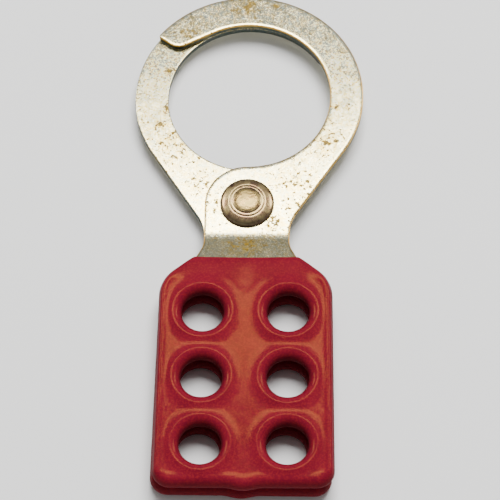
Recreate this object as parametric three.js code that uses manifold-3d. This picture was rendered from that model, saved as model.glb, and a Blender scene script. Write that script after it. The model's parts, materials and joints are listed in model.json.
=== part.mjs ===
// Scissor-type lockout hasp: two stamped steel plates crossed on one rivet, each with a
// vinyl-dipped tang. Millimetres, +Z up: the hasp lies flat on the back of its rear grip, with the
// jaw towards +Y. While it is modelled, the pivot axis is x = 0, y = 0, and z = 0 is the plane
// where the two plates meet.
import * as THREE from 'three';
import { mergeVertices } from 'three/addons/utils/BufferGeometryUtils.js';
import Module from 'manifold-3d';

const wasm = await Module();
wasm.setup();

// Jaw ring and pivot boss
const JAW_RADIUS = 19.05; // a 1.5 inch jaw
const RING_RADIUS = 26.7;
const RING_Y = 28.8; // ring centre above the pivot
const BOSS_RADIUS = RING_Y - JAW_RADIUS; // so that the jaw's arc runs smoothly into the boss
const FLANK_ANGLE = 33.5; // the flank's lean from vertical

// Tips of the hooks. end is the tip's angle round the ring, counter-clockwise from +X on the front
// plate. The jaw-side corner is a round of innerRadius whose centre is innerCentre from the ring's
// centre. The outer corner is a round of outerRadius tangent to the ring's edge.
const FRONT_TIP = { end: 143.3, innerRadius: 3.4, innerCentre: 23.6, outerRadius: 0.6 };
const REAR_TIP = { end: 151.5, innerRadius: 2.6, innerCentre: JAW_RADIUS + 2.6, outerRadius: 1.5 };

// Sheet and its bend below the pivot
const PLATE = 1.6; // 16 gauge sheet
const PLATE_GAP = 0.1; // between the two plates
const BEND_TOP_Y = -8.3;
const BEND_BOTTOM_Y = -15.6;
const BEND_EASE = 0.12; // half length of the rounding at each end, as a share of the slope's length
const BEND_STEPS = 4; // across the rounding at each end

// Neck and tang
const NECK_HALF_WIDTH = 9.75;
const NECK_UPPER_FILLET = 10;
const NECK_LOWER_FILLET = 6.2;
const NECK_TURN_Y = -9.6;
const NECK_SPREAD = 28; // the neck's widest lean from vertical, where it enters the coating
const SHOULDER_SLOPE = 39; // the shoulder's fall from horizontal
const TANG_INSET = 1.1; // from the coating's outline to the sheet's
const TANG_BOTTOM_Y = -70;
const TANG_CORNER_RADIUS = 3;
const TANG_HOLE_RADIUS = 5.55;

// Padlock holes, in two columns
const HOLE_X = 9.68;
const HOLE_TOP_Y = -28.5;
const HOLE_PITCH = 16.39;
const HOLE_ROWS = 3;

// Vinyl coating
const COAT = 4.1; // thickness over both faces of the sheet
const BEND_OFFSET = (COAT - PLATE) / 2; // brings the sheet to the middle of the coating
const COAT_TOP_Y = -14.6;
const COAT_TOP_HALF_WIDTH = 12.5;
const COAT_HALF_WIDTH = 19.65; // just below the shoulders
const COAT_BOTTOM_HALF_WIDTH = 20.2; // the dip runs down and sets thicker there
const COAT_SHOULDER_RADIUS = 8.5;
const COAT_BOTTOM_Y = -71.45;
const COAT_CORNER_RADIUS = 4;
const COAT_EDGE_RADIUS = 1.95;
const COAT_EDGE_STEPS = 2;
const COAT_GAP = 0.2; // between the sheet and the coating
const BORE_RADIUS = 4.8; // the coated hole at its narrowest, mid thickness
const DRIP = { halfWidth: 4.5, drop: 0.7, steps: 8 }; // the set drip below the middle of the grip

// Rivet
const RIVET_SHANK_RADIUS = 3.2;
const RIVET_HOLE_RADIUS = 3.28;
const RIVET_SEAT_GAP = 0.05;
const RIVET_SIDES = 48;

// The rear half sits half a degree off the front half, by the play of the rivet
const REAR_SWING = -0.5;

const ARC_TOLERANCE = 0.02; // how far a chord may cut inside its arc
const BORE_SIDES = 24;

const radians = THREE.MathUtils.degToRad;
const degrees = THREE.MathUtils.radToDeg;

// Points along an arc, from one angle to the other in degrees, both ends included.
function arc(centreX, centreY, radius, from, to) {
  const sweep = radians(to - from);
  const step = 2 * Math.acos(1 - ARC_TOLERANCE / radius);
  const count = Math.max(2, Math.ceil(Math.abs(sweep) / step));
  const points = [];
  for (let i = 0; i <= count; i += 1) {
    const angle = radians(from) + (sweep * i) / count;
    points.push(new THREE.Vector2(centreX + radius * Math.cos(angle), centreY + radius * Math.sin(angle)));
  }
  return points;
}

function onRing(radius, angle) {
  return new THREE.Vector2(
    radius * Math.cos(radians(angle)),
    RING_Y + radius * Math.sin(radians(angle)),
  );
}

function mirrored(points) {
  return points.map((point) => new THREE.Vector2(-point.x, point.y)).reverse();
}

function holeCentres() {
  const centres = [];
  for (let row = 0; row < HOLE_ROWS; row += 1) {
    for (const side of [-1, 1]) {
      centres.push(new THREE.Vector2(side * HOLE_X, HOLE_TOP_Y - row * HOLE_PITCH));
    }
  }
  return centres;
}

function circlePath(centre, radius, sides) {
  const path = new THREE.Path();
  for (let i = 0; i < sides; i += 1) {
    const angle = (2 * Math.PI * i) / sides;
    const x = centre.x + radius * Math.cos(angle);
    const y = centre.y + radius * Math.sin(angle);
    if (i === 0) path.moveTo(x, y);
    else path.lineTo(x, y);
  }
  path.closePath();
  return path;
}

// The shoulder's straight stretch as the line normal . point = reach, and the arc below it. inset
// moves it in from the coating's outline.
function shoulderLine(inset) {
  const rise = 90 - SHOULDER_SLOPE;
  const normal = new THREE.Vector2(Math.cos(radians(rise)), Math.sin(radians(rise)));
  const reach = normal.dot(new THREE.Vector2(COAT_TOP_HALF_WIDTH, COAT_TOP_Y)) - inset;
  const radius = COAT_SHOULDER_RADIUS - inset;
  const centreX = COAT_HALF_WIDTH - COAT_SHOULDER_RADIUS;
  const centreY = (reach - radius - normal.x * centreX) / normal.y;
  return { normal, reach, arcPoints: arc(centreX, centreY, radius, 0, rise) };
}

// Right side of the tang, from the bottom corner up to where the neck is narrowest. grow offsets
// every edge outwards.
function tangSide(grow) {
  const corner = TANG_CORNER_RADIUS + grow;
  const cornerX = COAT_BOTTOM_HALF_WIDTH - TANG_INSET - TANG_CORNER_RADIUS;
  const cornerY = TANG_BOTTOM_Y + TANG_CORNER_RADIUS;
  const fillet = NECK_LOWER_FILLET - grow;
  const filletX = NECK_HALF_WIDTH + NECK_LOWER_FILLET;
  const neck = arc(filletX, NECK_TURN_Y, fillet, 180 + NECK_SPREAD, 180);
  const { normal, reach, arcPoints } = shoulderLine(TANG_INSET - grow);
  const down = new THREE.Vector2(Math.sin(radians(NECK_SPREAD)), -Math.cos(radians(NECK_SPREAD)));
  const along = (reach - normal.dot(neck[0])) / normal.dot(down);
  const meeting = neck[0].clone().addScaledVector(down, along);
  return [...arc(cornerX, cornerY, corner, -90, 0), ...arcPoints, meeting, ...neck];
}

// Flank from the neck up to where it meets the ring, on the hook's side.
function flank(grow) {
  const lean = radians(FLANK_ANGLE);
  const meetX = RING_RADIUS * Math.cos(lean);
  const meetY = RING_Y - RING_RADIUS * Math.sin(lean);
  const cornerY = meetY - (meetX - NECK_HALF_WIDTH) / Math.tan(lean);
  const filletY = cornerY - NECK_UPPER_FILLET * Math.tan(lean / 2);
  const filletX = NECK_HALF_WIDTH + NECK_UPPER_FILLET;
  return arc(filletX, filletY, NECK_UPPER_FILLET - grow, 180, 180 - FLANK_ANGLE);
}

// Hook: outer arc, rounded tip, then back along the jaw's arc to the boss.
function hook(tip) {
  const outerCentre = RING_RADIUS - tip.outerRadius;
  const innerAngle = tip.end - degrees(Math.asin(tip.innerRadius / tip.innerCentre));
  const outerAngle = tip.end - degrees(Math.asin(tip.outerRadius / outerCentre));
  const inner = onRing(tip.innerCentre, innerAngle);
  const outer = onRing(outerCentre, outerAngle);
  // a straight lead-in touches both the jaw's circle and the tip's inner round
  const leadIn = innerAngle - degrees(Math.acos((JAW_RADIUS + tip.innerRadius) / tip.innerCentre));
  return [
    ...arc(0, RING_Y, RING_RADIUS, -FLANK_ANGLE, outerAngle),
    ...arc(outer.x, outer.y, tip.outerRadius, outerAngle, tip.end + 90).slice(1),
    ...arc(inner.x, inner.y, tip.innerRadius, tip.end + 90, leadIn + 180),
    ...arc(0, RING_Y, JAW_RADIUS, leadIn, -90).slice(1),
    ...arc(0, 0, BOSS_RADIUS, 90, 180).slice(1),
  ];
}

function outlinePrism(tip, grow) {
  const side = tangSide(grow);
  const shape = new THREE.Shape([...side, ...flank(grow), ...hook(tip), ...mirrored(side)]);
  for (const centre of holeCentres()) {
    shape.holes.push(circlePath(centre, TANG_HOLE_RADIUS - grow, BORE_SIDES));
  }
  shape.holes.push(circlePath(new THREE.Vector2(0, 0), RIVET_HOLE_RADIUS, RIVET_SIDES));
  const depth = 4 * PLATE;
  const prism = new THREE.ExtrudeGeometry(shape, { depth, bevelEnabled: false });
  return prism.translate(0, 0, -PLATE);
}

// Integral of the ramp that is 0 before t = 0 and 1 after t = 1.
function rampIntegral(t) {
  if (t > 1) return t - 0.5;
  return Math.max(t, 0) ** 2 / 2;
}

// Height of the sheet's inner face: flat over the jaw, then a slope away from the other half, which
// makes room for the coating between the tangs. Both ends of the slope are rounded.
function innerFace(y) {
  const along = (BEND_TOP_Y - y) / (BEND_TOP_Y - BEND_BOTTOM_Y);
  const rise = rampIntegral(along + BEND_EASE) - rampIntegral(along - BEND_EASE);
  return PLATE_GAP / 2 + (BEND_OFFSET * rise) / (2 * BEND_EASE);
}

// The sheet's edge-on profile as a prism across the whole width.
function profilePrism(grow) {
  const top = RING_Y + RING_RADIUS + PLATE;
  const bottom = TANG_BOTTOM_Y - PLATE;
  const stations = [top];
  for (const end of [0, 1]) {
    for (let i = 0; i <= BEND_STEPS; i += 1) {
      const along = end + BEND_EASE * ((2 * i) / BEND_STEPS - 1);
      stations.push(THREE.MathUtils.lerp(BEND_TOP_Y, BEND_BOTTOM_Y, along));
    }
  }
  stations.push(bottom);
  const inner = stations.map((y) => new THREE.Vector2(y, innerFace(y) - grow));
  const outer = stations.map((y) => new THREE.Vector2(y, innerFace(y) + PLATE + grow)).reverse();
  const width = 3 * RING_RADIUS; // wider than the hasp, for a clean cut
  const prism = new THREE.ExtrudeGeometry(new THREE.Shape([...inner, ...outer]), {
    depth: width,
    bevelEnabled: false,
  });
  const turn = new THREE.Matrix4().makeBasis(
    new THREE.Vector3(0, 1, 0),
    new THREE.Vector3(0, 0, 1),
    new THREE.Vector3(1, 0, 0),
  );
  return prism.applyMatrix4(turn).translate(-width / 2, 0, 0);
}

function toSolid(geometry) {
  geometry.deleteAttribute('normal');
  geometry.deleteAttribute('uv');
  const merged = mergeVertices(geometry);
  const vertProperties = merged.getAttribute('position').array;
  const triVerts = Uint32Array.from(merged.getIndex().array);
  return new wasm.Manifold(new wasm.Mesh({ numProp: 3, vertProperties, triVerts }));
}

function toGeometry(solid) {
  const mesh = solid.getMesh();
  const geometry = new THREE.BufferGeometry();
  geometry.setAttribute('position', new THREE.BufferAttribute(mesh.vertProperties, 3));
  geometry.setIndex(new THREE.BufferAttribute(mesh.triVerts, 1));
  geometry.computeVertexNormals();
  return geometry;
}

function plateSolid(tip, grow) {
  return toSolid(outlinePrism(tip, grow)).intersect(toSolid(profilePrism(grow)));
}

// Right side of the coating from the bottom corner up to its top edge.
function coatSide() {
  const cornerX = COAT_BOTTOM_HALF_WIDTH - COAT_CORNER_RADIUS;
  const cornerY = COAT_BOTTOM_Y + COAT_CORNER_RADIUS;
  return [
    ...arc(cornerX, cornerY, COAT_CORNER_RADIUS, -90, 0),
    ...shoulderLine(0).arcPoints,
    new THREE.Vector2(COAT_TOP_HALF_WIDTH, COAT_TOP_Y),
  ];
}

// The drip's outline, from left to right, a smooth bump below the bottom edge.
function drip() {
  const points = [];
  for (let i = 0; i <= DRIP.steps; i += 1) {
    const across = (2 * i) / DRIP.steps - 1;
    const drop = (DRIP.drop * (1 + Math.cos(Math.PI * across))) / 2;
    points.push(new THREE.Vector2(DRIP.halfWidth * across, COAT_BOTTOM_Y - drop));
  }
  return points;
}

function coatSolid() {
  const side = coatSide();
  const shape = new THREE.Shape([...side, ...mirrored(side), ...drip()]);
  for (const centre of holeCentres()) {
    shape.holes.push(circlePath(centre, BORE_RADIUS, BORE_SIDES));
  }
  const body = new THREE.ExtrudeGeometry(shape, {
    depth: COAT - 2 * COAT_EDGE_RADIUS,
    bevelSize: COAT_EDGE_RADIUS,
    bevelThickness: COAT_EDGE_RADIUS,
    bevelOffset: -COAT_EDGE_RADIUS,
    bevelSegments: COAT_EDGE_STEPS,
  });
  body.translate(0, 0, PLATE_GAP / 2 + COAT_EDGE_RADIUS);
  return toSolid(body).subtract(plateSolid(FRONT_TIP, COAT_GAP));
}

// One solid of revolution: low set head behind, shank, stepped formed head in front.
function rivetGeometry() {
  const seat = PLATE_GAP / 2 + PLATE + RIVET_SEAT_GAP;
  const profile = [
    [0, -seat - 2.05],
    [2.2, -seat - 2.0],
    [4.0, -seat - 1.7],
    [5.2, -seat - 1.1],
    [5.7, -seat - 0.4],
    [5.7, -seat],
    [RIVET_SHANK_RADIUS, -seat],
    [RIVET_SHANK_RADIUS, seat],
    [6.0, seat],
    [6.2, seat + 0.4],
    [6.0, seat + 0.9],
    [5.3, seat + 1.35],
    [4.4, seat + 1.6],
    [4.05, seat + 1.6],
    [3.75, seat + 1.75],
    [3.4, seat + 2.05],
    [2.8, seat + 2.2],
    [0, seat + 2.25],
  ];
  const points = profile.map(([radius, height]) => new THREE.Vector2(radius, height));
  return new THREE.LatheGeometry(points, RIVET_SIDES).rotateX(Math.PI / 2);
}

const platedSteel = new THREE.MeshStandardMaterial({ color: 0xd6cfc0, roughness: 0.38, metalness: 0.9 });
const rivetSteel = new THREE.MeshStandardMaterial({ color: 0xb59b78, roughness: 0.3, metalness: 0.95 });
const redVinyl = new THREE.MeshStandardMaterial({ color: 0xa8262e, roughness: 0.35, metalness: 0 });

function part(name, geometry, material) {
  const mesh = new THREE.Mesh(geometry, material);
  mesh.name = name;
  return mesh;
}

const coatGeometry = toGeometry(coatSolid());

const frontHalf = new THREE.Group();
frontHalf.add(part('front_jaw_plate', toGeometry(plateSolid(FRONT_TIP, 0)), platedSteel));
frontHalf.add(part('front_grip_coating', coatGeometry, redVinyl));
frontHalf.add(part('pivot_rivet', rivetGeometry(), rivetSteel));

// The rear half is turned over about the hasp's length. Its hook reaches further round the jaw.
const turnedOver = new THREE.Group();
turnedOver.rotation.y = Math.PI;
turnedOver.add(part('rear_jaw_plate', toGeometry(plateSolid(REAR_TIP, 0)), platedSteel));
turnedOver.add(part('rear_grip_coating', coatGeometry, redVinyl));
const rearHalf = new THREE.Group();
rearHalf.rotation.z = radians(REAR_SWING);
rearHalf.add(turnedOver);

const hasp = new THREE.Group();
hasp.add(frontHalf, rearHalf);

// Origin at the centre of the bottom of the hasp's box.
hasp.updateMatrixWorld(true);
const box = new THREE.Box3().setFromObject(hasp, true);
const middle = box.getCenter(new THREE.Vector3());
hasp.position.set(-middle.x, -middle.y, -box.min.z);

export default hasp;
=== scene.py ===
# Looks of a scissor lockout hasp: two plated steel jaw plates crossed on a rivet, each with a grip
# dipped in red vinyl. Shapes are made in millimetres, measured from the pivot: +Y towards the jaw,
# +Z out of the front face, and z = 0 where the two plates meet. Each half is made face up, and the
# rear one is then turned over about its length.
import json
import math

import bpy
import numpy as np
from mathutils import Matrix, Vector, noise
from mathutils.geometry import delaunay_2d_cdt


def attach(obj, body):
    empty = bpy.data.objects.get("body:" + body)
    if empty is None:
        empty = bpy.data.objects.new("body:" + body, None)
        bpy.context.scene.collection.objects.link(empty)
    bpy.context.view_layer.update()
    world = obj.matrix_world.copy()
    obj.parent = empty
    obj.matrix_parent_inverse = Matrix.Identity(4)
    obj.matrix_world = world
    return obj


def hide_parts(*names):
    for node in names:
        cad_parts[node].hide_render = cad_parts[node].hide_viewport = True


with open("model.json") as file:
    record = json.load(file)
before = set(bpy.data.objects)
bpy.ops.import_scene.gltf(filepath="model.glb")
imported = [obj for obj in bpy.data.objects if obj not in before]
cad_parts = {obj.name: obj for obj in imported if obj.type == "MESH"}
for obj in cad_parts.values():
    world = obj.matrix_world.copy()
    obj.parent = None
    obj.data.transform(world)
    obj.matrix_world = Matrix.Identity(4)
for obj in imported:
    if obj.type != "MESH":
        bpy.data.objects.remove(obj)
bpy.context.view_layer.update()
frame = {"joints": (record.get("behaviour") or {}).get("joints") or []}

PIVOT = Vector(frame["joints"][0]["pos_m"])
MM = 0.001

# ---------------------------------------------------------------- dimensions, as in the CAD model
JAW_RADIUS = 19.05
RING_RADIUS = 26.7
RING_Y = 28.8
BOSS_RADIUS = RING_Y - JAW_RADIUS
FLANK_ANGLE = 33.5
# The tip of each hook: where it ends, in degrees round the ring, and its two corners.
FRONT_TIP = {
    "end": 143.3,
    "inner_radius": 3.4,
    "inner_centre": 23.6,
    "outer_radius": 0.6,
}
REAR_TIP = {
    "end": 151.5,
    "inner_radius": 2.6,
    "inner_centre": JAW_RADIUS + 2.6,
    "outer_radius": 1.5,
}

PLATE = 1.6
COAT = 4.1
BEND_OFFSET = (COAT - PLATE) / 2
PLATE_GAP = 0.1
BEND_TOP_Y = -8.3
BEND_BOTTOM_Y = -15.6
BEND_EASE = 0.12

NECK_HALF_WIDTH = 9.75
NECK_UPPER_FILLET = 10
NECK_LOWER_FILLET = 6.2
NECK_TURN_Y = -9.6
NECK_SPREAD = 28
SHOULDER_SLOPE = 39
TANG_INSET = 1.1
TANG_BOTTOM_Y = -70
TANG_CORNER_RADIUS = 3
TANG_HOLE_RADIUS = 5.55

HOLE_X = 9.68
HOLE_TOP_Y = -28.5
HOLE_PITCH = 16.39
HOLE_ROWS = 3

COAT_TOP_Y = -14.6  # without the lip that creeps up the sheet
COAT_TOP_HALF_WIDTH = 12.5
COAT_HALF_WIDTH = 19.65
COAT_BOTTOM_HALF_WIDTH = 20.2
COAT_SHOULDER_RADIUS = 8.5
COAT_BOTTOM_Y = -71.45
COAT_CORNER_RADIUS = 4
BORE_RADIUS = 4.75
DRIP_HALF_WIDTH = 4.5
DRIP_DROP = 0.7

RIVET_SHANK_RADIUS = 3.2
RIVET_HOLE_RADIUS = 3.28
RIVET_SEAT_GAP = 0.05
# Each head as (radius, height past its seat), from the rear end to the front end.
RIVET_TAIL = [
    (0, -2.02),
    (1.6, -1.98),
    (3.0, -1.84),
    (4.2, -1.5),
    (5.1, -0.98),
    (5.6, -0.45),
    (5.66, -0.05),
]
RIVET_TAIL_SEAT_RADIUS = 5.5
RIVET_HEAD_SEAT_RADIUS = 5.7
RIVET_HEAD = [
    (6.04, 0.04),
    (6.2, 0.24),
    (6.1, 0.55),
    (5.7, 0.87),
    (5.2, 1.09),
    (4.7, 1.24),
    (4.35, 1.32),
    (4.15, 1.33),
    (4.0, 1.36),
    (3.8, 1.43),
    (3.6, 1.46),
    (3.4, 1.47),
    (3.25, 1.51),
    (3.1, 1.58),
    (2.8, 1.65),
    (2.3, 1.74),
    (1.5, 1.81),
    (0.7, 1.86),
    (0, 1.87),
]
REAR_SWING = -0.5  # degrees, the play between the halves when closed

# ------------------------------------------------------------------------- fine shape, looks only
MAX_STEP = 0.5  # longest edge along an outline
FINE_STEP = 0.1  # and where distances from it are measured
TOLERANCE = 1e-6  # points closer than this are one
MAX_TURN = 7  # degrees, most turn between two points of an arc
PLATE_STEP = 1.3  # spacing of points inside a plate's face
BEND_STEP = 0.35  # and across its bend
BEND_MARGIN = 1.5  # how far past the bend that goes on
COAT_STEP = 0.42  # and inside a coating's face
EDGE_CLEARANCE = 0.45  # share of the spacing that is kept free along a rim
BATCH = 2000  # points whose distances are worked out at a time
LATHE_SIDES = 144
SPLINE_STEPS = 5  # between two knots

ROLL_REACH = 0.85  # edge that the punch pulls down, on the outer face
ROLL_DEPTH = 0.22  # as a share of half the sheet
ROLL_STEPS = 9
BURR_REACH = 0.16  # broken edge on the inner face
BURR_DEPTH = 0.2  # as a share of half the sheet
BURR_STEPS = 4
WALL_STEPS = 7
HOLE_EDGE = 0.3  # flat bevel round a hole in the sheet
HOLE_EDGE_LEVEL = 0.9
OUTER_MARGIN = 0.1  # flat ring inside a plate's rolled edge
INNER_MARGIN = 0.3  # and inside its broken edge

FILM = 0.85  # vinyl over each face of the sheet
FILM_START = 0.18  # and where the dip begins
FILM_RUN = 6.0  # distance over which it thickens
FILM_RUN_MIDDLE = 4.8  # extra distance between the two columns of holes
FILM_MIDDLE_WIDTH = 2.6  # how far from the middle that reaches
FILM_EASE = 0.08  # share of that run over which it starts and stops
BEAD = 0.35  # how far the vinyl heaps up along its edges
BEAD_GROWTH = (2, 7)  # distances below the dip line between which the beads build up
BEAD_RADIUS = 6.9  # crest of the bead round a hole
BEAD_FOOT = 9.7  # where that bead runs out
BEAD_MARGIN = 0.2  # flat ring on its crest
BEAD_STEPS = 12
EDGE_BEAD = 0.9  # height of the bead along the outline, as a share of the holes' beads
EDGE_BEAD_INSET = 1.3  # how far in its crest is
EDGE_BEAD_FOOT = 3.6  # where it runs out
EDGE_STEPS = 10
COAT_LIP_REACH = 0.35  # how far in the outline is rounded, along the dip line
COAT_LIP_GROWTH = (0.3, 7)  # distances below the dip line between which that grows to the crest
COAT_FOOT_REACH = 2.8  # how far in it is rounded, along the bottom
COAT_FOOT_HEIGHT = 3.4  # where that begins, above the bottom
COAT_FOOT_RUN = 3  # and the distance over which it grows
LIP_RISE = 0.4  # how far the film creeps up the sheet above the coating's straight top
LIP_CORNER = (0.1, 0.7)  # how far the top's corner leans in, below and above
DIP_SAG = 0.22  # how far the dip line hangs between its ends
RIPPLES = ((0.028, 6, 0), (0.012, 2, 5))  # height, size and seed of the skin's unevenness
RIPPLE_GROWTH = (1, 5)  # distances below the dip line between which it builds up
FRONT_SKIN_SEED = 1.5
REAR_SKIN_SEED = 8.5


# ---------------------------------------------------------------------------------- plane outlines
def arc(centre_x, centre_y, radius, start, end):
    """Points along a circle from one angle to another, in degrees."""
    sweep = abs(math.radians(end - start))
    for_steps = math.ceil(sweep * radius / MAX_STEP)
    for_turns = math.ceil(abs(end - start) / MAX_TURN)
    count = max(2, for_steps, for_turns)
    angles = np.radians(np.linspace(start, end, count + 1))
    x = centre_x + radius * np.cos(angles)
    y = centre_y + radius * np.sin(angles)
    return np.column_stack((x, y))


def on_ring(radius, angle):
    """A point at a radius and angle round the ring's centre."""
    turn = math.radians(angle)
    return radius * math.cos(turn), RING_Y + radius * math.sin(turn)


def mirrored(points):
    """The same points on the other side of the middle, in reverse order."""
    return (points * (-1, 1))[::-1]


def densify(loop, longest=MAX_STEP):
    """Splits long edges of a closed loop and drops repeated points."""
    points = []
    for here, there in zip(loop, np.roll(loop, -1, axis=0)):
        length = np.linalg.norm(there - here)
        if length < TOLERANCE:
            continue
        count = math.ceil(length / longest)
        for i in range(count):
            points.append(here + (there - here) * i / count)
    return np.array(points)


def hole_centres():
    """The padlock holes, row by row from the top, left and then right."""
    rows = [HOLE_TOP_Y - row * HOLE_PITCH for row in range(HOLE_ROWS)]
    return [(side * HOLE_X, y) for y in rows for side in (-1, 1)]


def hole_loop(centre, radius):
    """Clockwise, so that the material lies to the left, as it does on an outline."""
    return arc(centre[0], centre[1], radius, 360, 0)[:-1]


def shoulder(inset):
    """Normal and reach of the shoulder's straight stretch, and the arc below it."""
    rise = 90 - SHOULDER_SLOPE
    normal = np.array((math.cos(math.radians(rise)), math.sin(math.radians(rise))))
    reach = normal @ (COAT_TOP_HALF_WIDTH, COAT_TOP_Y) - inset
    radius = COAT_SHOULDER_RADIUS - inset
    centre_x = COAT_HALF_WIDTH - COAT_SHOULDER_RADIUS
    centre_y = (reach - radius - normal[0] * centre_x) / normal[1]
    return normal, reach, arc(centre_x, centre_y, radius, 0, rise)


def tang_side():
    """The right side of a plate's tang, from its bottom corner up to the neck."""
    corner_x = COAT_BOTTOM_HALF_WIDTH - TANG_INSET - TANG_CORNER_RADIUS
    corner_y = TANG_BOTTOM_Y + TANG_CORNER_RADIUS
    neck_x = NECK_HALF_WIDTH + NECK_LOWER_FILLET
    neck = arc(neck_x, NECK_TURN_Y, NECK_LOWER_FILLET, 180 + NECK_SPREAD, 180)
    normal, reach, below = shoulder(TANG_INSET)
    spread = math.radians(NECK_SPREAD)
    down = np.array((math.sin(spread), -math.cos(spread)))
    meeting = neck[0] + down * (reach - normal @ neck[0]) / (normal @ down)
    corner = arc(corner_x, corner_y, TANG_CORNER_RADIUS, -90, 0)
    return np.vstack((corner, below, [meeting], neck))


def flank():
    """The fillet between the neck and the straight flank that runs up to the ring."""
    lean = math.radians(FLANK_ANGLE)
    meet_x = RING_RADIUS * math.cos(lean)
    meet_y = RING_Y - RING_RADIUS * math.sin(lean)
    corner_y = meet_y - (meet_x - NECK_HALF_WIDTH) / math.tan(lean)
    fillet_y = corner_y - NECK_UPPER_FILLET * math.tan(lean / 2)
    fillet_x = NECK_HALF_WIDTH + NECK_UPPER_FILLET
    return arc(fillet_x, fillet_y, NECK_UPPER_FILLET, 180, 180 - FLANK_ANGLE)


def hook(tip):
    """One hook of the jaw: out round the ring, round the tip, and back inside it to the boss."""
    end, inner_radius, outer_radius = tip["end"], tip["inner_radius"], tip["outer_radius"]
    outer_centre = RING_RADIUS - outer_radius
    inner_angle = end - math.degrees(math.asin(inner_radius / tip["inner_centre"]))
    outer_angle = end - math.degrees(math.asin(outer_radius / outer_centre))
    inner = on_ring(tip["inner_centre"], inner_angle)
    outer = on_ring(outer_centre, outer_angle)
    ratio = min(1, (JAW_RADIUS + inner_radius) / tip["inner_centre"])
    lead_in = inner_angle - math.degrees(math.acos(ratio))
    return np.vstack(
        (
            arc(0, RING_Y, RING_RADIUS, -FLANK_ANGLE, outer_angle),
            arc(*outer, outer_radius, outer_angle, end + 90)[1:],
            arc(*inner, inner_radius, end + 90, lead_in + 180),
            arc(0, RING_Y, JAW_RADIUS, lead_in, -90)[1:],
            arc(0, 0, BOSS_RADIUS, 90, 180)[1:],
        )
    )


def plate_outline(tip):
    """A jaw plate's outline, anticlockwise from its lower right corner."""
    side = tang_side()
    return densify(np.vstack((side, flank(), hook(tip), mirrored(side))))


def coat_outline():
    """The coating's outline, with the drip at the bottom and the lip along the dip line."""
    corner_x = COAT_BOTTOM_HALF_WIDTH - COAT_CORNER_RADIUS
    corner_y = COAT_BOTTOM_Y + COAT_CORNER_RADIUS
    corner = arc(corner_x, corner_y, COAT_CORNER_RADIUS, -90, 0)
    top = [
        (COAT_TOP_HALF_WIDTH - LIP_CORNER[0], COAT_TOP_Y),
        (COAT_TOP_HALF_WIDTH - LIP_CORNER[1], COAT_TOP_Y + LIP_RISE),
    ]
    side = np.vstack((corner, shoulder(0)[2], top))
    loop = densify(np.vstack((side, mirrored(side))))
    x, y = loop.T
    below = y < corner_y
    bump = (1 + np.cos(np.pi * np.clip(x / DRIP_HALF_WIDTH, -1, 1))) / 2
    y[below] -= DRIP_DROP * bump[below]
    lip = np.isclose(y, COAT_TOP_Y + LIP_RISE)
    y[lip] += dip_line(x[lip]) - dip_line(COAT_TOP_HALF_WIDTH)
    return np.column_stack((x, y))


def dip_line(x):
    """Where the film leaves the sheet, a little above the coating's straight top."""
    across = x / COAT_TOP_HALF_WIDTH
    return COAT_TOP_Y + LIP_RISE + DIP_SAG * (across**2 - 1)


# ------------------------------------------------------------------------------------ solid shapes
def inward(loop):
    """Unit offsets into the material on the loop's left, lengthened at corners."""
    along = np.roll(loop, -1, axis=0) - loop
    along /= np.linalg.norm(along, axis=1)[:, None]
    after = np.column_stack((-along[:, 1], along[:, 0]))
    before = np.roll(after, 1, axis=0)
    return (before + after) / (1 + np.sum(before * after, axis=1))[:, None]


def room_inside(loop, inset):
    """The share of an inset that each point can take: less near a tight outer corner, else 1."""
    along = np.roll(loop, -1, axis=0) - loop
    before = np.roll(along, 1, axis=0)
    cross = before[:, 0] * along[:, 1] - before[:, 1] * along[:, 0]
    turn = np.arctan2(cross, np.sum(before * along, axis=1))
    length = (np.linalg.norm(along, axis=1) + np.linalg.norm(before, axis=1)) / 2
    least_turn = 0.01
    straight = 1000
    radius = np.where(turn > least_turn, length / np.maximum(turn, least_turn), straight)
    tight = 0.5 * radius < inset
    if not tight.any():
        return np.ones(len(loop))
    distance = np.linalg.norm(loop[:, None] - loop[tight][None], axis=2)
    room = 0.5 * radius[tight][None] + 0.5 * distance
    return np.minimum(1, room.min(axis=1) / inset)


def inside(points, loop):
    """Even-odd test of each point against a closed loop."""
    x, y = points[:, 0][:, None], points[:, 1][:, None]
    x0, y0 = loop.T
    x1, y1 = np.roll(loop, -1, axis=0).T
    spans = (y0 > y) != (y1 > y)
    rise = np.where(y1 == y0, 1, y1 - y0)
    crossing = x0 + (y - y0) * (x1 - x0) / rise
    return np.count_nonzero(spans & (x < crossing), axis=1) % 2 == 1


def face_points(outer, holes, step, bands):
    """A staggered grid inside the face. bands are (low y, high y, spacing) where it is finer."""
    low, high = outer.min(axis=0), outer.max(axis=0)
    rows = []
    y = low[1]
    odd = False
    while y < high[1]:
        finer = [spacing for start, end, spacing in bands if start <= y <= end]
        x = np.arange(low[0] + (step / 2 if odd else 0), high[0], step)
        rows.append(np.column_stack((x, np.full(len(x), y))))
        y += finer[0] if finer else step * math.sqrt(3) / 2
        odd = not odd
    points = np.vstack(rows)
    points = points[inside(points, outer)]
    for hole in holes:
        points = points[~inside(points, hole)]
    return points[nearest(points, np.vstack((outer, *holes))) > step * EDGE_CLEARANCE]


def quarter(reach, depth, steps):
    """(inset, level) pairs from a face round to a wall. The face is level 1, mid thickness 0."""
    angles = np.radians(np.linspace(90, 0, steps + 1))
    return [(reach * (1 - math.cos(a)), 1 - depth * (1 - math.sin(a))) for a in angles]


def lower(profile):
    """The same profile for the other face, from the wall to the face."""
    return [(inset, -level) for inset, level in reversed(profile)]


def ring_faces(first, count, rings):
    """Quads between neighbouring rings of count points, the first of which is point first."""
    faces = []
    for ring in range(rings - 1):
        start = first + ring * count
        for i in range(count):
            j = (i + 1) % count
            faces.append((start + i, start + count + i, start + count + j, start + j))
    return faces


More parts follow.
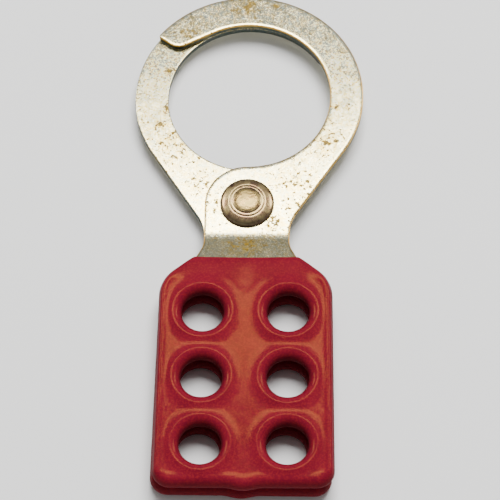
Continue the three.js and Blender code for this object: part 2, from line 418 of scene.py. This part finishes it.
def face_triangles(rings, free):
    """Triangles over the face between an outer ring and the holes' rings, all facing up. They
    count through the rings' points, one ring after another, and then through the free points."""
    edges = []
    start = 0
    for ring in rings:
        count = len(ring)
        edges.extend((start + i, start + (i + 1) % count) for i in range(count))
        start += count
    flat = [Vector(point) for point in (*np.vstack(rings), *free)]
    cut = delaunay_2d_cdt(flat, edges, [], 0, TOLERANCE, True)
    faces, origins = cut[2], cut[3]
    triangles = np.array([[origins[i][0] for i in face] for face in faces])
    corners = np.array([tuple(point) for point in flat])[triangles]
    middles = corners.mean(axis=1)
    keep = inside(middles, rings[0])
    for ring in rings[1:]:
        keep &= ~inside(middles, ring)
    edge_a, edge_b = corners[:, 1] - corners[:, 0], corners[:, 2] - corners[:, 0]
    facing_down = edge_a[:, 0] * edge_b[:, 1] - edge_a[:, 1] * edge_b[:, 0] < 0
    triangles[facing_down] = triangles[facing_down][:, (0, 2, 1)]
    return triangles[keep]


def slab(rims, height, step, bands=()):
    """A closed solid between two faces. Each rim is (loop, profile, reach), the outer one first;
    profile lists (inset, level) from the top face to the bottom face, and reach scales the insets,
    point by point. height(x, y, level) gives z. Returns points, faces and each point's marks: its
    level, and whether it is on a hole's rim."""
    plan, levels, rim_of, faces = [], [], [], []
    tops, bottoms = [], []
    for number, (loop, profile, reach) in enumerate(rims):
        offset = inward(loop) * np.reshape(reach, (-1, 1))
        count = len(loop)
        first = len(plan)
        for inset, level in profile:
            plan.extend(loop + offset * inset)
            levels.extend([level] * count)
            rim_of.extend([number] * count)
        faces.extend(ring_faces(first, count, len(profile)))
        tops.append(range(first, first + count))
        bottoms.append(range(len(plan) - count, len(plan)))
    rings = [np.array([plan[i] for i in top]) for top in tops]
    free = face_points(rings[0], rings[1:], step, bands)
    top_index = [i for top in tops for i in top]
    bottom_index = [i for bottom in bottoms for i in bottom]
    for level, index in ((1, top_index), (-1, bottom_index)):
        index.extend(range(len(plan), len(plan) + len(free)))
        plan.extend(free)
        levels.extend([level] * len(free))
        rim_of.extend([0] * len(free))
    for a, b, c in face_triangles(rings, free):
        faces.append((top_index[a], top_index[b], top_index[c]))
        faces.append((bottom_index[a], bottom_index[c], bottom_index[b]))
    plan = np.array(plan)
    levels = np.array(levels)
    z = height(plan[:, 0], plan[:, 1], levels)
    marks = {"level": levels, "bore": np.minimum(rim_of, 1)}
    return np.column_stack((plan, z)), faces, marks


def smooth(x, start, end):
    """0 up to start and 1 from end on, with an eased rise between."""
    t = np.clip((x - start) / (end - start), 0, 1)
    return t * t * (3 - 2 * t)


def ramp_integral(t):
    """Integral of a step that rises evenly from 0 to 1 between t = 0 and t = 1."""
    return np.where(t > 1, t - 0.5, np.maximum(t, 0) ** 2 / 2)


def eased_ramp(t, ease):
    """A straight ramp from 0 to 1 with rounded ends."""
    return (ramp_integral(t + ease) - ramp_integral(t - ease)) / (2 * ease)


def plate_middle(y):
    """Height of the sheet's mid thickness above the plane where the plates meet."""
    along = (BEND_TOP_Y - y) / (BEND_TOP_Y - BEND_BOTTOM_Y)
    return PLATE_GAP / 2 + PLATE / 2 + BEND_OFFSET * eased_ramp(along, BEND_EASE)


def plate_height(x, y, level):
    return plate_middle(y) + level * PLATE / 2


def ripple(x, y, size, seed):
    """Smooth unevenness of about one unit, size millimetres long."""
    return np.array([noise.noise(Vector((a / size, b / size, seed))) for a, b in zip(x, y)])


def run_out(distance, crest, foot):
    """1 up to the crest of a bead, falling to 0 at its foot, steepest at the crest."""
    return (1 - np.clip((distance - crest) / (foot - crest), 0, 1)) ** 2


def nearest(points, targets):
    """Distance from each point to the nearest target. The points are taken in batches."""
    batches = np.array_split(points, 1 + len(points) // BATCH)
    tables = (np.linalg.norm(batch[:, None] - targets[None], axis=2) for batch in batches)
    return np.concatenate([table.min(axis=1) for table in tables])


def coat_height(outline, seed):
    """Height of the coating's skin: the sheet, the film on it and the beads along its edges."""

    def height(x, y, level):
        points = np.column_stack((x, y))
        below_dip = dip_line(x) - y
        run = FILM_RUN + FILM_RUN_MIDDLE * np.exp(-((x / FILM_MIDDLE_WIDTH) ** 2))
        film = FILM_START + (FILM - FILM_START) * eased_ramp(below_dip / run, FILM_EASE)
        from_holes = [np.linalg.norm(points - centre, axis=1) for centre in hole_centres()]
        at_hole = sum(run_out(distance, BEAD_RADIUS, BEAD_FOOT) for distance in from_holes)
        from_edge = nearest(points, densify(outline, FINE_STEP))
        at_edge = EDGE_BEAD * run_out(from_edge, EDGE_BEAD_INSET, EDGE_BEAD_FOOT)
        bead = BEAD * np.cbrt(at_hole**3 + at_edge**3).clip(0, 1) * smooth(below_dip, *BEAD_GROWTH)
        uneven = sum(depth * ripple(x, y, size, seed + shift) for depth, size, shift in RIPPLES)
        half = PLATE / 2 + film + bead + uneven * smooth(below_dip, *RIPPLE_GROWTH)
        return plate_middle(y) + level * half

    return height


def plate_solid(tip):
    """A jaw plate, rolled over along its outer face's edge and bent at the neck."""
    loop = plate_outline(tip)
    wall_levels = np.linspace(1 - ROLL_DEPTH, BURR_DEPTH - 1, WALL_STEPS + 1)[1:-1]
    profile = [
        (ROLL_REACH + OUTER_MARGIN, 1),
        *quarter(ROLL_REACH, ROLL_DEPTH, ROLL_STEPS),
        *((0, level) for level in wall_levels),
        *lower(quarter(BURR_REACH, BURR_DEPTH, BURR_STEPS)),
        (BURR_REACH + INNER_MARGIN, -1),
    ]
    rims = [(loop, profile, room_inside(loop, ROLL_REACH))]
    bevel = [(HOLE_EDGE, 1), (0, HOLE_EDGE_LEVEL)]
    bevelled = [*bevel, *lower(bevel)]
    rims.append((hole_loop((0, 0), RIVET_HOLE_RADIUS), bevelled, 1))
    for centre in hole_centres():
        rims.append((hole_loop(centre, TANG_HOLE_RADIUS), bevelled, 1))
    bands = [(BEND_BOTTOM_Y - BEND_MARGIN, BEND_TOP_Y + BEND_MARGIN, BEND_STEP)]
    return slab(rims, plate_height, PLATE_STEP, bands)


def coat_solid(seed):
    """A tang's coating, with rounded edges and bores. seed sets how its skin is uneven."""
    loop = coat_outline()
    x, y = loop.T
    below_lip = smooth(dip_line(x) - y, *COAT_LIP_GROWTH)
    near_foot = smooth(COAT_BOTTOM_Y + COAT_FOOT_HEIGHT - y, 0, COAT_FOOT_RUN)
    reach = COAT_LIP_REACH + (EDGE_BEAD_INSET - COAT_LIP_REACH) * below_lip
    reach += (COAT_FOOT_REACH - EDGE_BEAD_INSET) * near_foot
    edge = quarter(1, 1, EDGE_STEPS)
    rims = [(loop, [*edge, *lower(edge)[1:]], reach)]
    bead = BEAD_RADIUS - BORE_RADIUS
    bore = [(bead + BEAD_MARGIN, 1), *quarter(bead, 1, BEAD_STEPS)]
    for centre in hole_centres():
        rims.append((hole_loop(centre, BORE_RADIUS), [*bore, *lower(bore)[1:]], 1))
    return slab(rims, coat_height(loop, seed), COAT_STEP)


def lathe(profile):
    """A solid turned about the pivot from (radius, z) pairs, bottom to top and axis to axis."""
    sides = LATHE_SIDES
    points = [(0, 0, profile[0][1])]
    turns = np.linspace(0, 2 * math.pi, sides, endpoint=False)
    for radius, z in profile[1:-1]:
        points.extend((radius * math.cos(a), radius * math.sin(a), z) for a in turns)
    points.append((0, 0, profile[-1][1]))
    faces = []
    last = len(points) - 1
    for i in range(sides):
        j = (i + 1) % sides
        faces.append((0, 1 + j, 1 + i))
        for ring in range(len(profile) - 3):
            start = 1 + ring * sides
            faces.append((start + i, start + j, start + sides + j, start + sides + i))
        faces.append((last - sides + i, last - sides + j, last))
    return np.array(points), faces


def spline(knots):
    """A Catmull-Rom curve through (radius, z) knots."""
    knots = np.array(knots, float)
    padded = np.vstack((2 * knots[0] - knots[1], knots, 2 * knots[-1] - knots[-2]))
    points = []
    for a, b, c, d in zip(padded, padded[1:], padded[2:], padded[3:]):
        slope = c - a
        bend = 2 * a - 5 * b + 4 * c - d
        twist = 3 * b - a - 3 * c + d
        for t in np.arange(SPLINE_STEPS) / SPLINE_STEPS:
            points.append(0.5 * (2 * b + slope * t + bend * t**2 + twist * t**3))
    points.append(knots[-1])
    return [(max(0, radius), z) for radius, z in points]


def rivet_solid():
    """The rivet, with its shank and both heads in one solid. It needs no marks."""
    seat = PLATE_GAP / 2 + PLATE + RIVET_SEAT_GAP
    tail = [(radius, z - seat) for radius, z in spline(RIVET_TAIL)]
    head = [(radius, z + seat) for radius, z in spline(RIVET_HEAD)]
    shank = [
        (RIVET_TAIL_SEAT_RADIUS, -seat),
        (RIVET_SHANK_RADIUS, -seat),
        (RIVET_SHANK_RADIUS, seat),
        (RIVET_HEAD_SEAT_RADIUS, seat),
    ]
    points, faces = lathe([*tail, *shank, *head])
    return points, faces, {}


# ------------------------------------------------------------------------------------------ pieces
def turned_over():
    """Turns a half about its length, and swings it by the play."""
    swing = Matrix.Rotation(math.radians(REAR_SWING), 4, "Z")
    return swing @ Matrix.Rotation(math.pi, 4, "Y")


def piece(name, solid, material, body, node, turn=None):
    """A mesh object in the shared frame that stands for a CAD node and rides on a body."""
    points, faces, marks = solid
    mesh = bpy.data.meshes.new(name)
    mesh.from_pydata([tuple(p) for p in points], [], faces)
    mesh.validate()
    for mark, values in marks.items():
        attribute = mesh.attributes.new(mark, "FLOAT", "POINT")
        attribute.data.foreach_set("value", values.astype(np.float32))
    place = Matrix.Translation(PIVOT) @ Matrix.Scale(MM, 4)
    mesh.transform(place @ turn if turn else place)
    mesh.shade_smooth()
    mesh.materials.append(material)
    obj = bpy.data.objects.new(name, mesh)
    bpy.context.scene.collection.objects.link(obj)
    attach(obj, body)
    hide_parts(node)


# -------------------------------------------------------------------------------- colours and wear
PLATING_DARK = (0.36, 0.34, 0.22)
PLATING_BRIGHT = (0.97, 0.94, 0.76)
PLATING_YELLOW = (0.80, 0.66, 0.30)
# painted shade on the neck below the bend
PLATING_GREY = (0.50, 0.60, 0.60)
PLATING_NECK_SHADE = (0.27, 0.235, 0.13)
# The sheared wall, painted nearly black: partly the steel's duller shear face, partly painted
# shade.
SHEAR_FACE_AND_SHADE_DARK = (0.022, 0.036, 0.033)
SHEAR_FACE_AND_SHADE_PALE = (0.07, 0.08, 0.065)
GOLDEN = (0.58, 0.33, 0.04)
# painted shade on the rear plate's wall, next to its outer face
DARK_TEAL_WALL_SHADE = (0.03, 0.045, 0.042)
STAIN_GOLD = (0.50, 0.37, 0.09)
RUST_BROWN = (0.17, 0.105, 0.003)
RUST_DARK = (0.065, 0.038, 0.001)

BRONZE_BROWN = (0.28, 0.178, 0.125)
BRONZE_PALE = (0.40, 0.32, 0.18)
BRONZE_OLIVE = (0.25, 0.185, 0.065)
# dirt in the groove, and painted shade under the head's edge
RIVET_DIRT_AND_SHADE = (0.06, 0.03, 0.018)

VINYL_DEEP = (0.125, 0.0052, 0.0165)
VINYL_RED = (0.155, 0.0066, 0.0195)
VINYL_SPECKLE = (0.25, 0.016, 0.020)
VINYL_WORN = (0.34, 0.04, 0.05)
# painted shade deep in the bores
VINYL_PAINTED_BORE_SHADE = (0.016, 0.003, 0.006)
# painted shade on the coating's side walls
VINYL_PAINTED_WALL_SHADE = (0.045, 0.005, 0.010)
VINYL_SHEEN = (1.0, 0.39, 0.06, 1.0)
VINYL_SPECULAR = 0.12

PAPER_DARK = (0.86, 0.86, 0.855)
PAPER_PALE = (0.88, 0.88, 0.875)

# Where the wear, dirt and painted shade are, in millimetres.
NECK_SHADE_HEIGHTS = (-8.2, -9.5)  # heights between which the neck's plating is painted darker, as shade
RIVET_MIDDLE = (3.3, 2.6)  # radii between which the head's dented middle begins
RIVET_GROOVE_RADIUS = 4.12
RIVET_GROOVE_EDGE = (0.28, 0.08)  # distances from it between which its dirt builds up
RIVET_RIM_SHADE = (5.85, 6.15)  # radii between which the painted shade under the head's edge builds up
RIVET_RING_WIDTH = 0.22

# Stains on the plates: x, y, z, radius and strength.
FRONT_FACE_Z = PLATE_GAP / 2 + PLATE
NECK_FACE_Z = 2.3
REAR_FACE_Z = -PLATE_GAP / 2
FRONT_STAINS = [
    (-0.3, 53.1, FRONT_FACE_Z, 3.6, 1.0),
    (-2.9, 52.0, FRONT_FACE_Z, 2.6, 0.9),
    (6.1, 53.3, FRONT_FACE_Z, 1.6, 1.0),
    (-1.0, 52.5, FRONT_FACE_Z, 8.0, 0.55),
    (-13.5, 45.8, FRONT_FACE_Z, 6.0, 0.62),
    (20.3, 25.5, FRONT_FACE_Z, 1.6, 1.0),
    (24.8, 22.2, FRONT_FACE_Z, 1.4, 0.9),
    (18.0, 15.6, FRONT_FACE_Z, 4.4, 0.95),
    (17.0, 17.0, FRONT_FACE_Z, 12.0, 0.55),
    (11.5, 6.0, FRONT_FACE_Z, 9.0, 0.68),
    (12.0, -1.0, FRONT_FACE_Z, 7.0, 0.66),
    (6.2, -5.2, FRONT_FACE_Z, 5.0, 0.85),
    (-7.0, 0.0, FRONT_FACE_Z, 7.0, 0.55),
    (-2.5, -11.3, NECK_FACE_Z, 3.8, 0.8),
    (0.4, -11.2, NECK_FACE_Z, 4.6, 1.0),
]
REAR_STAINS = [
    (-18.8, 36.2, REAR_FACE_Z, 1.8, 1.0),
    (-19.3, 25.9, REAR_FACE_Z, 1.8, 1.0),
    (-20.8, 21.6, REAR_FACE_Z, 2.6, 1.0),
    (-17.7, 18.7, REAR_FACE_Z, 4.0, 0.9),
    (-17.0, 16.0, REAR_FACE_Z, 13.0, 0.58),
    (-11.0, 7.0, REAR_FACE_Z, 7.0, 0.66),
]


# --------------------------------------------------------------------------------------- materials
class Nodes:
    """Short calls that add nodes to one shader tree. A value is a number, a colour, a vector or
    another node's output."""

    def __init__(self, tree, coords):
        self.tree = tree
        self.coords = self.new("TexCoord").outputs[coords]

    def new(self, kind):
        return self.tree.nodes.new("ShaderNode" + kind)

    def link(self, value, socket):
        if isinstance(value, bpy.types.NodeSocket):
            self.tree.links.new(value, socket)
        else:
            socket.default_value = value

    def fill(self, node, **values):
        """Sets a node's inputs by name, with _ for a space."""
        for name, value in values.items():
            self.link(value, node.inputs[name.replace("_", " ")])

    def noise(self, size, detail=3, roughness=0.55, distortion=0, coords=None):
        """Noise whose features are about size millimetres."""
        node = self.new("TexNoise")
        self.fill(node, Vector=coords or self.coords, Scale=1 / (size * MM))
        self.fill(node, Detail=detail, Roughness=roughness, Distortion=distortion)
        return node.outputs["Fac"]

    def rings(self, radius, width):
        """Noise that changes with radius only, about every width millimetres."""
        node = self.new("TexNoise")
        node.noise_dimensions = "1D"
        self.fill(node, W=radius, Scale=1 / (width * MM))
        return node.outputs["Fac"]

    def math(self, operation, a, b=0.0):
        node = self.new("Math")
        node.operation = operation
        self.link(a, node.inputs[0])
        self.link(b, node.inputs[1])
        return node.outputs[0]

    def times(self, a, b):
        return self.math("MULTIPLY", a, b)

    def most(self, a, b):
        return self.math("MAXIMUM", a, b)

    def vectors(self, operation, a, b):
        """The node that works on two vectors."""
        node = self.new("VectorMath")
        node.operation = operation
        self.link(a, node.inputs[0])
        self.link(b, node.inputs[1])
        return node

    def along(self, axis):
        """The coordinate along one axis."""
        node = self.new("SeparateXYZ")
        self.link(self.coords, node.inputs[0])
        return node.outputs[axis]

    def remap(self, value, low, high, to_low=0.0, to_high=1.0, kind="LINEAR"):
        """to_low where a value is low, to_high where it is high, and between them in between."""
        node = self.new("MapRange")
        node.interpolation_type = kind
        self.fill(node, Value=value, From_Min=low, From_Max=high, To_Min=to_low, To_Max=to_high)
        return node.outputs["Result"]

    def mix(self, factor, a, b):
        """Blend of two colours."""
        node = self.new("Mix")
        node.data_type = "RGBA"
        a, b = ((*colour, 1) if isinstance(colour, tuple) else colour for colour in (a, b))
        self.fill(node, Factor=factor, A=a, B=b)
        return node.outputs["Result"]

    def stretched(self, x, y, z):
        """Coordinates that draw noise out along the axes with a small scale."""
        node = self.new("Mapping")
        self.fill(node, Vector=self.coords, Scale=(x, y, z))
        return node.outputs["Vector"]

    def attribute(self, name):
        node = self.new("Attribute")
        node.attribute_name = name
        return node.outputs["Fac"]

    def near(self, point, radius):
        """1 at a point given in millimetres from the pivot, falling to 0 at radius."""
        place = PIVOT + Vector(point) * MM
        distance = self.vectors("DISTANCE", self.coords, place).outputs["Value"]
        return self.remap(distance, 0.0, radius * MM, 1.0, 0.0)

    def bump(self, height, distance, strength=1.0, under=None):
        """distance is the relief in millimetres, and under a relief that it is laid over."""
        node = self.new("Bump")
        self.fill(node, Height=height, Distance=distance * MM, Strength=strength)
        if under:
            self.fill(node, Normal=under)
        return node.outputs["Normal"]


class Surface(Nodes):
    """The nodes of one material."""

    def __init__(self, name):
        self.material = bpy.data.materials.new(name)
        self.material.use_nodes = True
        super().__init__(self.material.node_tree, "Object")

    def set(self, **values):
        self.fill(self.tree.nodes["Principled BSDF"], **values)


def steel(name, stains, outer_wall_colour):
    """Bright plate on sheet steel, with brown stains, painted shade on the neck below its bend, and
    a sheared wall
    painted nearly black: partly the steel's duller shear face, partly painted shade.
    outer_wall_colour is the colour of the wall's outer quarter: golden on the front plate, and on
    the rear plate a dark teal that is painted shade."""
    n = Surface(name)
    cloudy = n.noise(3, 4, 0.6)
    grain = n.noise(0.4, 1.5, 0.5)
    scratches = n.noise(0.5, 3, 0.6, 0.2, n.stretched(1, 0.08, 1))
    tone = n.math("ADD", n.times(cloudy, 0.25), n.times(grain, 0.75))
    colour = n.mix(n.remap(tone, 0.38, 0.58), PLATING_DARK, PLATING_BRIGHT)
    warm = n.remap(n.noise(0.7, 2, 0.6), 0.44, 0.60)
    colour = n.mix(n.times(warm, 0.6), colour, PLATING_YELLOW)
    cool = n.remap(n.noise(0.9, 2, 0.6), 0.46, 0.62)
    colour = n.mix(n.times(cool, 0.6), colour, PLATING_GREY)
    # Painted shade: the plating gets darker on the neck, below the bend.
    from_pivot = n.times(n.math("SUBTRACT", n.along("Y"), PIVOT.y), 1 / MM)
    colour = n.mix(n.remap(from_pivot, *NECK_SHADE_HEIGHTS, 0.0, 0.66), colour, PLATING_NECK_SHADE)

    level = n.attribute("level")
    wall = n.remap(n.math("ABSOLUTE", level), 0.965, 0.86)
    # The wall is painted nearly black, partly as the duller shear face and partly as painted shade.
    shear_face_and_shade = n.mix(n.remap(n.noise(0.5, 4), 0.4, 0.6), SHEAR_FACE_AND_SHADE_DARK, SHEAR_FACE_AND_SHADE_PALE)
    wall_colour = n.mix(n.remap(level, 0.38, 0.55), shear_face_and_shade, outer_wall_colour)
    colour = n.mix(wall, colour, wall_colour)

    stain = 0.0
    for x, y, z, radius, strength in stains:
        stain = n.most(n.times(n.near((x, y, z), radius), strength), stain)
    wash = n.times(n.remap(n.noise(1.4, 2), 0.42, 0.56), n.times(stain, 0.8))
    colour = n.mix(wash, colour, STAIN_GOLD)
    specks = n.times(n.noise(1.1, 2, 0.5), n.noise(0.55, 2, 0.5))
    threshold = n.math("SUBTRACT", 0.44, n.times(stain, 0.25))
    rust = n.remap(n.math("SUBTRACT", specks, threshold), -0.025, 0.03)
    darker = n.times(rust, n.remap(n.noise(0.5), 0.4, 0.6))
    rust_colour = n.mix(darker, RUST_BROWN, RUST_DARK)
    colour = n.mix(n.times(rust, 0.9), colour, rust_colour)

    patchy = n.math("ADD", n.times(grain, 0.5), n.times(cloudy, 0.5))
    rough = n.remap(patchy, 0.35, 0.65, 0.15, 0.24)
    rough = n.most(rough, n.times(wall, 0.5))
    rough = n.most(rough, n.times(rust, 0.45))
    metal = n.math("SUBTRACT", 1.0, n.times(rust, 0.15))
    fine = n.bump(grain, 0.002)
    worn = n.bump(n.remap(scratches, 0.55, 0.7), 0.004, 0.5, fine)
    wavy = n.bump(cloudy, 0.006, 1.0, worn)
    n.set(Base_Color=colour, Roughness=rough, Metallic=metal, Normal=wavy)
    return n.material


def rivet_metal():
    """Tarnished plate, turned in fine rings, with a dented middle, dirt in the groove and painted
    shade under the head's edge.
    """
    n = Surface("rivet_bronze_nickel")
    flat = n.vectors("MULTIPLY", n.coords, (1, 1, 0)).outputs["Vector"]
    radius = n.vectors("DISTANCE", flat, (PIVOT.x, PIVOT.y, 0)).outputs["Value"]
    middle = n.remap(radius, *(edge * MM for edge in RIVET_MIDDLE))
    cloudy = n.noise(1.6, 4)
    colour = n.mix(n.remap(cloudy, 0.38, 0.62), BRONZE_BROWN, BRONZE_PALE)
    colour = n.mix(n.times(middle, 0.6), colour, BRONZE_OLIVE)
    from_groove = n.math("ABSOLUTE", n.math("SUBTRACT", radius, RIVET_GROOVE_RADIUS * MM))
    groove = n.remap(from_groove, *(edge * MM for edge in RIVET_GROOVE_EDGE))
    # Painted shade where the head's edge meets the plate.
    rim = n.remap(radius, *(edge * MM for edge in RIVET_RIM_SHADE))
    dirt_and_shade = n.most(n.times(groove, 0.15), n.times(rim, 0.8))
    colour = n.mix(dirt_and_shade, colour, RIVET_DIRT_AND_SHADE)
    rough = n.remap(cloudy, 0.35, 0.65, 0.23, 0.33)
    turned = n.bump(n.rings(radius, RIVET_RING_WIDTH), 0.005, 0.6)
    dents = n.times(n.noise(1.0, 3, 0.6), middle)
    dented = n.bump(dents, 0.07, 1.0, turned)
    n.set(Base_Color=colour, Roughness=rough, Metallic=1.0, Normal=dented)
    return n.material


def vinyl():
    """Glossy vinyl with a fine grain and scuffs, with painted shade deep in the bores and on the
    side walls.
    """
    n = Surface("dipped_red_vinyl")
    level = n.attribute("level")
    bore = n.attribute("bore")
    # Painted shade: the bores' rims get darker, and duller, the deeper they go.
    bore_shade = n.times(n.remap(level, 0.93, 0.25), bore)
    # Painted shade: the coating's rounded side walls, away from the bores, are darker.
    on_walls = n.math("SUBTRACT", n.remap(n.math("ABSOLUTE", level), 0.9, 0.5), bore)
    wall = n.most(on_walls, 0.0)
    scuffs = n.noise(1.2, 6, 0.75, 0.4, n.stretched(1, 0.25, 1))
    worn = n.remap(scuffs, 0.66, 0.78)

    soft = n.remap(n.noise(6, 3), 0.35, 0.65)
    colour = n.mix(soft, VINYL_DEEP, VINYL_RED)
    speckle = n.remap(n.noise(0.45, 3, 0.65), 0.46, 0.60)
    colour = n.mix(n.times(speckle, 0.5), colour, VINYL_SPECKLE)
    colour = n.mix(n.times(worn, 0.25), colour, VINYL_WORN)
    # painted shade in the bores
    colour = n.mix(n.times(bore_shade, 0.3), colour, VINYL_PAINTED_BORE_SHADE)
    # painted shade on the side walls
    colour = n.mix(n.times(wall, 0.35), colour, VINYL_PAINTED_WALL_SHADE)

    glints = n.remap(n.noise(0.27, 1.5, 0.5), 0.40, 0.60, 0.24, 0.06)
    rough = n.math("ADD", glints, n.times(worn, 0.2))
    rough = n.most(rough, n.times(wall, 0.65))
    rough = n.most(rough, n.times(bore_shade, 0.7))
    grain = n.bump(n.noise(0.3, 3, 0.6), 0.009)
    skin = n.bump(n.noise(0.8, 4, 0.6), 0.006, 1.0, grain)
    n.set(Base_Color=colour, Roughness=rough, Normal=skin)
    n.set(Specular_Tint=VINYL_SHEEN, Specular_IOR_Level=VINYL_SPECULAR)
    return n.material


def backdrop_material():
    n = Surface("pale_paper")
    n.set(Base_Color=n.mix(n.noise(40, 2), PAPER_DARK, PAPER_PALE), Roughness=0.9)
    return n.material


# ------------------------------------------------------------------------------------------- build
red_vinyl = vinyl()
bronze = rivet_metal()
front_steel = steel("front_plated_steel", FRONT_STAINS, GOLDEN)
# The rear plate's wall is dark teal next to its outer face, as painted shade.
rear_steel = steel("rear_plated_steel", REAR_STAINS, DARK_TEAL_WALL_SHADE)

piece(
    "front_jaw_plate_fine", plate_solid(FRONT_TIP), front_steel,
    "front_half", "front_jaw_plate",
)
piece(
    "rear_jaw_plate_fine", plate_solid(REAR_TIP), rear_steel,
    "rear_half", "rear_jaw_plate", turned_over(),
)
piece(
    "pivot_rivet_fine", rivet_solid(), bronze,
    "front_half", "pivot_rivet",
)
piece(
    "front_grip_dip", coat_solid(FRONT_SKIN_SEED), red_vinyl,
    "front_half", "front_grip_coating",
)
piece(
    "rear_grip_dip", coat_solid(REAR_SKIN_SEED), red_vinyl,
    "rear_half", "rear_grip_coating", turned_over(),
)

# ----------------------------------------------------------------------- camera, stage, in metres
VIEW_AZIMUTH = 2.255
VIEW_ELEVATION = 62.078
VIEW_ROLL = -1.753
VIEW_DISTANCE = 0.8144
AIM = Vector((0.00064, -0.00288, 0.00415))
FOCAL_IN_FRAMES = 7.1324  # focal length over the frame's width
SENSOR_WIDTH = 36  # millimetres
CLIP_START = 0.05
CLIP_END = 20

FLOOR_HALF = 4.0
MIRRORED = (0, 0.47, 0.883)  # direction that the flat faces mirror towards the camera
MIRRORED_EDGE = (0.55, 1.05)  # cosines of the angle from it between which the room gets lighter
DIM = 0.12  # the room elsewhere
# It is light low down on the camera's side too. That begins between these z and y of a direction.
LOW_Z = (0.92, 0.3)
CAMERA_SIDE_Y = (0.6, 0.0)
ROOM_STRENGTH = 0.6

WARM_WHITE = (1.0, 0.90, 0.62)
WHITE = (1.0, 1.0, 1.0)
SIDE_STRIPS = (("left_strip", -0.30), ("right_strip", 0.30))


def add_camera():
    azimuth, elevation = math.radians(VIEW_AZIMUTH), math.radians(VIEW_ELEVATION)
    back = Vector(
        (
            math.sin(azimuth) * math.cos(elevation),
            -math.cos(azimuth) * math.cos(elevation),
            math.sin(elevation),
        )
    )
    data = bpy.data.cameras.new("camera")
    data.sensor_width = SENSOR_WIDTH
    data.lens = data.sensor_width * FOCAL_IN_FRAMES
    data.clip_start = CLIP_START
    data.clip_end = CLIP_END
    camera = bpy.data.objects.new("camera", data)
    bpy.context.scene.collection.objects.link(camera)
    turn = back.to_track_quat("Z", "Y").to_matrix().to_4x4()
    roll = Matrix.Rotation(math.radians(VIEW_ROLL), 4, "Z")
    camera.matrix_world = Matrix.Translation(AIM + back * VIEW_DISTANCE) @ turn @ roll
    bpy.context.scene.camera = camera


def add_softbox(name, place, width, height, power, colour, glossy=True, diffuse=True):
    """An area light aimed at the hasp. glossy and diffuse say what it shows in."""
    data = bpy.data.lights.new(name, "AREA")
    data.shape = "RECTANGLE"
    data.size = width
    data.size_y = height
    data.energy = power
    data.color = colour
    light = bpy.data.objects.new(name, data)
    light.visible_glossy = glossy
    light.visible_diffuse = diffuse
    bpy.context.scene.collection.objects.link(light)
    turn = Vector(place).to_track_quat("Z", "Y").to_matrix().to_4x4()
    light.matrix_world = Matrix.Translation(place) @ turn


def add_floor():
    mesh = bpy.data.meshes.new("floor")
    corners = [(x * FLOOR_HALF, y * FLOOR_HALF, 0) for x, y in ((-1, -1), (1, -1), (1, 1), (-1, 1))]
    mesh.from_pydata(corners, [], [(0, 1, 2, 3)])
    mesh.materials.append(backdrop_material())
    floor = bpy.data.objects.new("floor", mesh)
    bpy.context.scene.collection.objects.link(floor)


def add_room():
    """A dim room. It is light where the flat faces mirror it, and low down around the camera."""
    world = bpy.data.worlds.new("soft_room")
    world.use_nodes = True
    n = Nodes(world.node_tree, "Generated")
    closeness = n.vectors("DOT_PRODUCT", n.coords, MIRRORED).outputs["Value"]
    mirrored_part = n.remap(closeness, *MIRRORED_EDGE, DIM, 1.0, "SMOOTHSTEP")
    low = n.remap(n.along("Z"), *LOW_Z)
    low_part = n.times(low, n.remap(n.along("Y"), *CAMERA_SIDE_Y))
    lightness = n.most(mirrored_part, low_part)
    n.fill(n.tree.nodes["Background"], Color=lightness, Strength=ROOM_STRENGTH)
    bpy.context.scene.world = world


add_camera()
add_floor()
add_room()
add_softbox(
    "key_strip", place=(0.0, 0.143, 0.30), width=0.16, height=0.076, power=0.85,
    colour=WARM_WHITE, diffuse=False,
)
for strip, x in SIDE_STRIPS:
    add_softbox(
        strip, place=(x, 0.21, 0.27), width=0.16, height=0.1, power=1.0,
        colour=WARM_WHITE, diffuse=False,
    )
add_softbox(
    "fill_softbox", place=(0.2, 0.75, 1.5), width=1.0, height=1.0, power=58,
    colour=WHITE, glossy=False,
)
